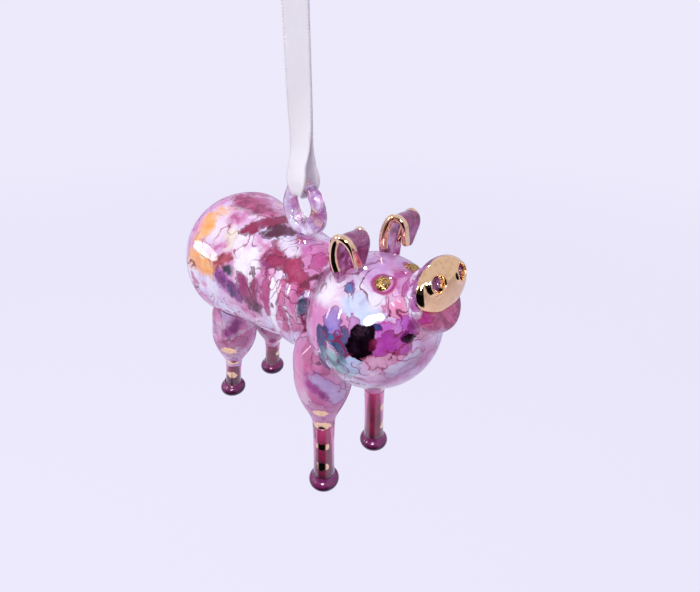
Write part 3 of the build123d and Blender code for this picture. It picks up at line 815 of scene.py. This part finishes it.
# Snout: an oval button, domed, with two lipped nostrils
OUT = Vector((0, -cos(radians(12)), sin(radians(12))))
RISE = OUT.cross(ASIDE)
SNOUT = HEAD + HEAD_AXIS * MUZZLE_REACH + Vector((0, 0, 3.1)) - OUT * 2.4
WIDE, HIGH, DEEP, EDGE = 8.4, 6.1, 4.8, 1.8
NOSTRIL_ASIDE, NOSTRIL_UP, NOSTRIL_R, NOSTRIL_DEEP = 4.1, 1.9, 1.75, 1.6
LIP_R, LIP_WIDE, LIP_HIGH, LIP_REACH = 2.05, 0.45, 0.66, 3.4
run, dome = WIDE - EDGE, DEEP - EDGE
dome_r = (run ** 2 + dome ** 2 - EDGE ** 2) / (2 * (dome - EDGE))
turn = atan2(dome_r - dome, run)
outline = [(0, 0)] + [(run + EDGE * cos(a), EDGE + EDGE * sin(a)) for a in np.linspace(-pi / 2, turn, 50)]
outline += [(dome_r * cos(a), DEEP - dome_r + dome_r * sin(a)) for a in np.linspace(turn, pi / 2, 120)[1:]]
rings, gilts = [], []
for r, h in outline:
    ring = []
    for a in circle(220):
        x, u = r * cos(a), r * sin(a) * HIGH / WIDE
        lift = 0
        for side in (-1, 1):
            off = hypot(x - side * NOSTRIL_ASIDE, u - NOSTRIL_UP)
            if h > EDGE and off < LIP_REACH:
                lift += (LIP_HIGH * exp(-((off - LIP_R) / LIP_WIDE) ** 2)
                         - NOSTRIL_DEEP * sqrt(max(0.0, 1 - (off / NOSTRIL_R) ** 2)))
        ring.append(SNOUT + ASIDE * x + RISE * u + OUT * (h + lift))
        on_front = h > 1.9 + 0.12 * sin(1.3 * x)
        gilts.append((1.0 if lift > -0.55 else 0.1) if on_front else 0.0)
    rings.append(ring)
look = Look("gold_lustre", 0.05, (0.25, 0.02))
tube_piece("snout_button", rings, look, "snout_disc", tags={"gilt": gilts})
glaze = look.ramp(look.cloud(0.5, 3, look.warp(1, 0.8)),
                  [(0.35, "8a3f86"), (0.5, "c77ab9"), (0.65, "4a1240")])
gilded(look, glaze, look.span(look.stored("gilt"), 0.45, 0.55), gold="fbd2a2", through=0.3)
look.bump(look.cloud(0.35, 3), 0.00025, 0.25)

# Eyes: gilded pebbles with flecks of colour
look = Look("eye_lustre", 0.16, (0.8, 0.02))
fleck = look.cloud(1.3, 3, look.warp(0.5, 2))
tone = look.ramp(
    fleck, [(0.36, "4a0c24"), (0.42, "a0752c"), (0.55, "dcb468"), (0.62, "5c5a24"), (0.72, "6c1430")])
look.set(Base_Color=tone, Metallic=look.span(look.cloud(0.9, 2), 0.40, 0.50, 0.35, 1.0))
look.bump(look.cloud(1.1, 3, rough=0.6), 0.0005, 0.8)
EYE_R, EYE_SUNK = 2.3, 1.2
flank_x, flank_r = np.array(flank + ball[1:]).T
flank_lean = np.arctan2(flank_r, flank_x)


def on_flank(lean):
    """The point of the head's outline at an angle off its axis, as (along, radius)."""
    return Vector((np.interp(lean, flank_lean, flank_x), np.interp(lean, flank_lean, flank_r)))


for name, side in SIDES:
    line = Vector((5.5 * side, -7.1, 16.2)).normalized()
    lean = line.angle(HEAD_AXIS)
    skin_at = on_flank(lean)
    around = (line - HEAD_AXIS * line.dot(HEAD_AXIS)).normalized()
    slope = atan2(*(on_flank(lean + 0.05) - skin_at).yx)
    way = (HEAD_AXIS * sin(slope) - around * cos(slope)).normalized()
    way = -way if way.dot(line) < 0 else way
    seat = HEAD + HEAD_AXIS * skin_at.x + around * skin_at.y - way * EYE_SUNK
    e1 = way.orthogonal().normalized()
    e2 = way.cross(e1)
    rings = []
    for a in np.linspace(0.55 * pi, 0.02, 26):
        ring = []
        for b in circle(48):
            lump = 1 + 0.10 * noise.noise(Vector((cos(b) * 1.7, sin(b) * 1.7, a * 1.2 + side * 5)))
            beside = e1 * cos(b) + e2 * sin(b)
            ring.append(seat + (way * cos(a) + beside * sin(a)) * EYE_R * lump)
        rings.append(ring)
    tube_piece(f"eye_pebble_{name}", rings, look, f"eye_{name}", caps=2)

# Ears: folded leaves whose margins are a thick gilded bead
look = Look("ear_glass", 0.05, (0.8, 0.01))
tone = look.ramp(look.cloud(0.34, 4, look.warp(2.0, 0.5), distort=0.6),
                 [(0.34, "f3d3ee"), (0.46, "d488c4"), (0.56, "b0377c"), (0.68, "6a1a48")])
tone = look.mix(look.span(look.stored("tip"), 0.55, 0.8, 0, 0.7), tone, "a2528a")
gilt = look.plus(look.stored("gilt"), look.times(look.cloud(0.6, 2), 0.12))
gilded(look, tone, look.span(gilt, 0.52, 0.58), through=0.62)
FORWARD = (0.00, -0.05, 0.01, 0.21, 0.41, 0.46, 0.43)
UPWARD = (-0.16, 0.22, 0.66, 0.94, 0.86, 0.62, 0.36)
STEPS, END_STEPS = 120, 7
EAR_LONG, EAR_WIDE, EAR_END = 11.4, 7.8, 0.75
LEAF_HALF, BEAD_HALF, BEAD_WIDE = 0.42, 0.74, 1.15


def smooth_through(points, count):
    """Smooth line through points, evenly spaced along itself."""
    knots = np.r_[0, np.cumsum([(b - a).length for a, b in zip(points, points[1:])])]
    n = len(points)
    system, right_side = np.zeros((n, n)), np.zeros((n, 3))
    values = np.array([tuple(p) for p in points])
    h = np.diff(knots)
    system[0, 0] = system[-1, -1] = 1
    for i in range(1, n - 1):
        system[i, i - 1:i + 2] = h[i - 1], 2 * (h[i - 1] + h[i]), h[i]
        right_side[i] = 6 * ((values[i + 1] - values[i]) / h[i] - (values[i] - values[i - 1]) / h[i - 1])
    bend = np.linalg.solve(system, right_side)
    line = []
    for s in np.linspace(0, knots[-1], 800):
        i = min(np.searchsorted(knots, s, side="right") - 1, n - 2)
        u, v = knots[i + 1] - s, s - knots[i]
        line.append((bend[i] * u ** 3 + bend[i + 1] * v ** 3) / (6 * h[i])
                    + (values[i] / h[i] - bend[i] * h[i] / 6) * u
                    + (values[i + 1] / h[i] - bend[i + 1] * h[i] / 6) * v)
    line = np.array(line)
    gone = np.r_[0, np.cumsum(np.linalg.norm(np.diff(line, axis=0), axis=1))]
    even = np.linspace(0, gone[-1], count)
    return [Vector([np.interp(e, gone, line[:, k]) for k in range(3)]) for e in even]


for name, side in SIDES:
    root = HEAD + Vector((8.2 * side, 2.8, 16.4)).normalized() * HEAD_R
    lean = side * sin(radians(6))
    knots = [root + Vector((lean * u, -f, u)) * EAR_LONG for f, u in zip(FORWARD, UPWARD)]
    spine = smooth_through(knots, STEPS + 1)
    rings, gilts, tips = [], [], []
    for k in range(2, STEPS + END_STEPS + 1):
        i = min(k, STEPS)
        along = i / STEPS
        tangent = (spine[min(i + 1, STEPS)] - spine[max(i - 1, 0)]).normalized()
        across = (ASIDE - tangent * tangent.x).normalized()
        back = tangent.cross(across)
        past = max(0, k - STEPS) / END_STEPS
        squeeze = sqrt(max(0.0, 1 - past * past))
        centre = spine[i] + tangent * EAR_END * past
        width = EAR_WIDE * sin(pi * (0.20 + 0.72 * along))
        cup = width * (0.05 + 0.20 * (1 - sin(pi * along)))
        arc_r = (width ** 2 / 4 + cup ** 2) / (2 * cup)
        half = asin(width / 2 / arc_r)
        ring = []
        for face in (1, -1):
            for t in np.linspace(-1, 1, 34)[:-1] * face:
                bead = exp(-((1 - abs(t)) * width / 2 / BEAD_WIDE) ** 2)
                end = max(0.0, (abs(t) - 0.9) / 0.1)
                thick = (LEAF_HALF + BEAD_HALF * bead) * (1.0 if abs(t) < 1 else 0)
                r = arc_r + face * thick * sqrt(max(0.0, 1 - end * end * 0.98))
                a = t * half * 0.95
                ring.append(centre + (across * (r * sin(a) + copysign(0.55 * end, t))
                                      + back * (r * cos(a) - arc_r)) * squeeze)
                margin = min(1.0, (1 - abs(t)) * width / 2 / 3.2)
                bare = max(0.0, 0.26 - along) * 5 + (max(0.0, along - 0.62) * 5 if t > 0 else 0)
                gilts.append(max(0.0, 1 - margin * (1.0 if face < 0 else 1.25) - bare))
                tips.append(along)
        rings.append(ring)
    tube_piece(f"ear_leaf_{name}", rings, look, f"ear_{name}", caps=1,
               tags={"gilt": gilts, "tip": tips}, near=2e-7)

# Tail: a rod that flares out of the rump and curls round most of a turn
CURL_R, TAIL_R = 2.6, 0.95
lift, tilt = radians(20), radians(30)
tail_out = Vector((0, cos(lift), sin(lift)))
tail_up = tail_out.cross(ASIDE)
seat = Vector((0, RUMP[0], BODY_Z)) + tail_out * RUMP[1]
curl_up = tail_up * cos(tilt) + tail_out * sin(tilt)
centre = seat + tail_out * (TAIL_R + CURL_R * sin(tilt))
rings = []
for t in np.linspace(0, 1, 101):
    a = radians(-90 + 300 * t)
    radial = (ASIDE * cos(a) + curl_up * sin(a)).normalized()
    tangent = (curl_up * cos(a) - ASIDE * sin(a)).normalized()
    third = tangent.cross(radial)
    bar = TAIL_R + 0.85 * exp(-(t / 0.09) ** 2) - 0.15 * t
    bar *= sqrt(max(0.0004, 1 - max(0.0, (t - 0.965) / 0.035) ** 2))
    rings.append([centre + radial * CURL_R + (radial * cos(b) + third * sin(b)) * bar for b in circle(28)])
look = Look("tail_glass", 0.05, (1.0, 0.01), Transmission_Weight=0.45)
look.set(Base_Color=look.ramp(look.cloud(0.35, 3, look.warp(2, 0.4)),
                              [(0.38, "e39ac8"), (0.52, "c04c98"), (0.66, "7d1f5c")]))
tube_piece("tail_curl", rings, look, "tail", caps=2)

# Floor and world: pale to the camera, but dark towards the room behind it in reflections
BACK, FLOOR_PALE, FLOOR_DARK = rgb("edeafc"), "e6e2f2", "0d0b10"
DARK_WAY = Vector((-0.861, -0.445, -0.247))
FLOOR_Z, FLOOR_HALF, PIG_Z = -0.26, 6, -0.07


def seen_by_camera(nodes):
    """One for rays from the camera, straight or through glass."""
    return nodes.math("MAXIMUM", nodes.node("LightPath", out="Is Camera Ray"),
                      nodes.node("LightPath", out="Is Transmission Ray"))


floor_look = bpy.data.materials.new("floor")
floor_look.use_nodes = True
tree = floor_look.node_tree
tree.nodes.remove(tree.nodes["Principled BSDF"])
nodes = Nodes(tree)
seen = seen_by_camera(nodes)
where = nodes.node("TexCoord", out="Object")
away = nodes.vec("NORMALIZE", nodes.vec("SUBTRACT", where, (0, 0, PIG_Z)))
pale = nodes.span(nodes.vec("DOT_PRODUCT", away, DARK_WAY), 0.72, 0.60)
floor_colour = nodes.mix(nodes.math("MAXIMUM", pale, seen), FLOOR_DARK, FLOOR_PALE)
lit = nodes.node("BsdfDiffuse", {"Color": floor_colour})
flat = nodes.node("Emission", {"Color": BACK, "Strength": 1.0})
share = nodes.times(seen, nodes.span(nodes.vec("LENGTH", where), 0.4, 1.2, 0.86, 1.0))
nodes.feed(tree.nodes["Material Output"].inputs["Surface"], nodes.node("MixShader", (share, lit, flat)))
data = bpy.data.meshes.new("floor")
corners = (-1, -1), (1, -1), (1, 1), (-1, 1)
data.from_pydata([(x * FLOOR_HALF, y * FLOOR_HALF, FLOOR_Z) for x, y in corners], [], [(0, 1, 2, 3)])
data.materials.append(floor_look)
placed("floor", data)

world = bpy.data.worlds.new("studio")
world.use_nodes = True
scene.world = world
nodes = Nodes(world.node_tree)
facing = nodes.vec("DOT_PRODUCT", nodes.node("TexCoord", out="Generated"), DARK_WAY)
room = nodes.span(facing, 0.60, 0.72, 0.84, 0.03)
glow = world.node_tree.nodes["Background"]
nodes.feed(glow.inputs["Color"], BACK)
nodes.feed(glow.inputs["Strength"], nodes.node("MapRange", (seen_by_camera(nodes), 0, 1, room, 1.0)))


def lamp(name, way, size, power, spin=0.0):
    """An oval area light that looks at the pig from a direction; size in metres, wide and high."""
    data = bpy.data.lights.new(name, "AREA")
    data.shape = "ELLIPSE"
    data.size, data.size_y = size
    data.energy = power
    made = placed(name, data)
    way = Vector(way).normalized()
    made.location = Vector((0, -0.02, PIG_Z)) + way * 0.6
    made.rotation_mode = "QUATERNION"
    made.rotation_quaternion = way.to_track_quat("Z", "Y") @ Matrix.Rotation(spin, 4, "Z").to_quaternion()
    return made


# The soft lamp lights the pig without showing in it; the key lamp only shows; the others are small glints
lamp("soft", (-0.80, -0.40, 0.45), (0.5, 0.4), 2.0).visible_glossy = False
lamp("key", (-0.70, -0.49, 0.52), (0.235, 0.15), 2.4, 0.67).visible_diffuse = False
lamp("window_left", (-0.73, 0.65, 0.18), (0.04, 0.16), 0.17, 0.2)
lamp("window_near", (-0.86, 0.33, 0.37), (0.05, 0.16), 0.45, 0.2)
lamp("back", (0.28, 0.53, 0.80), (0.04, 0.07), 0.35)
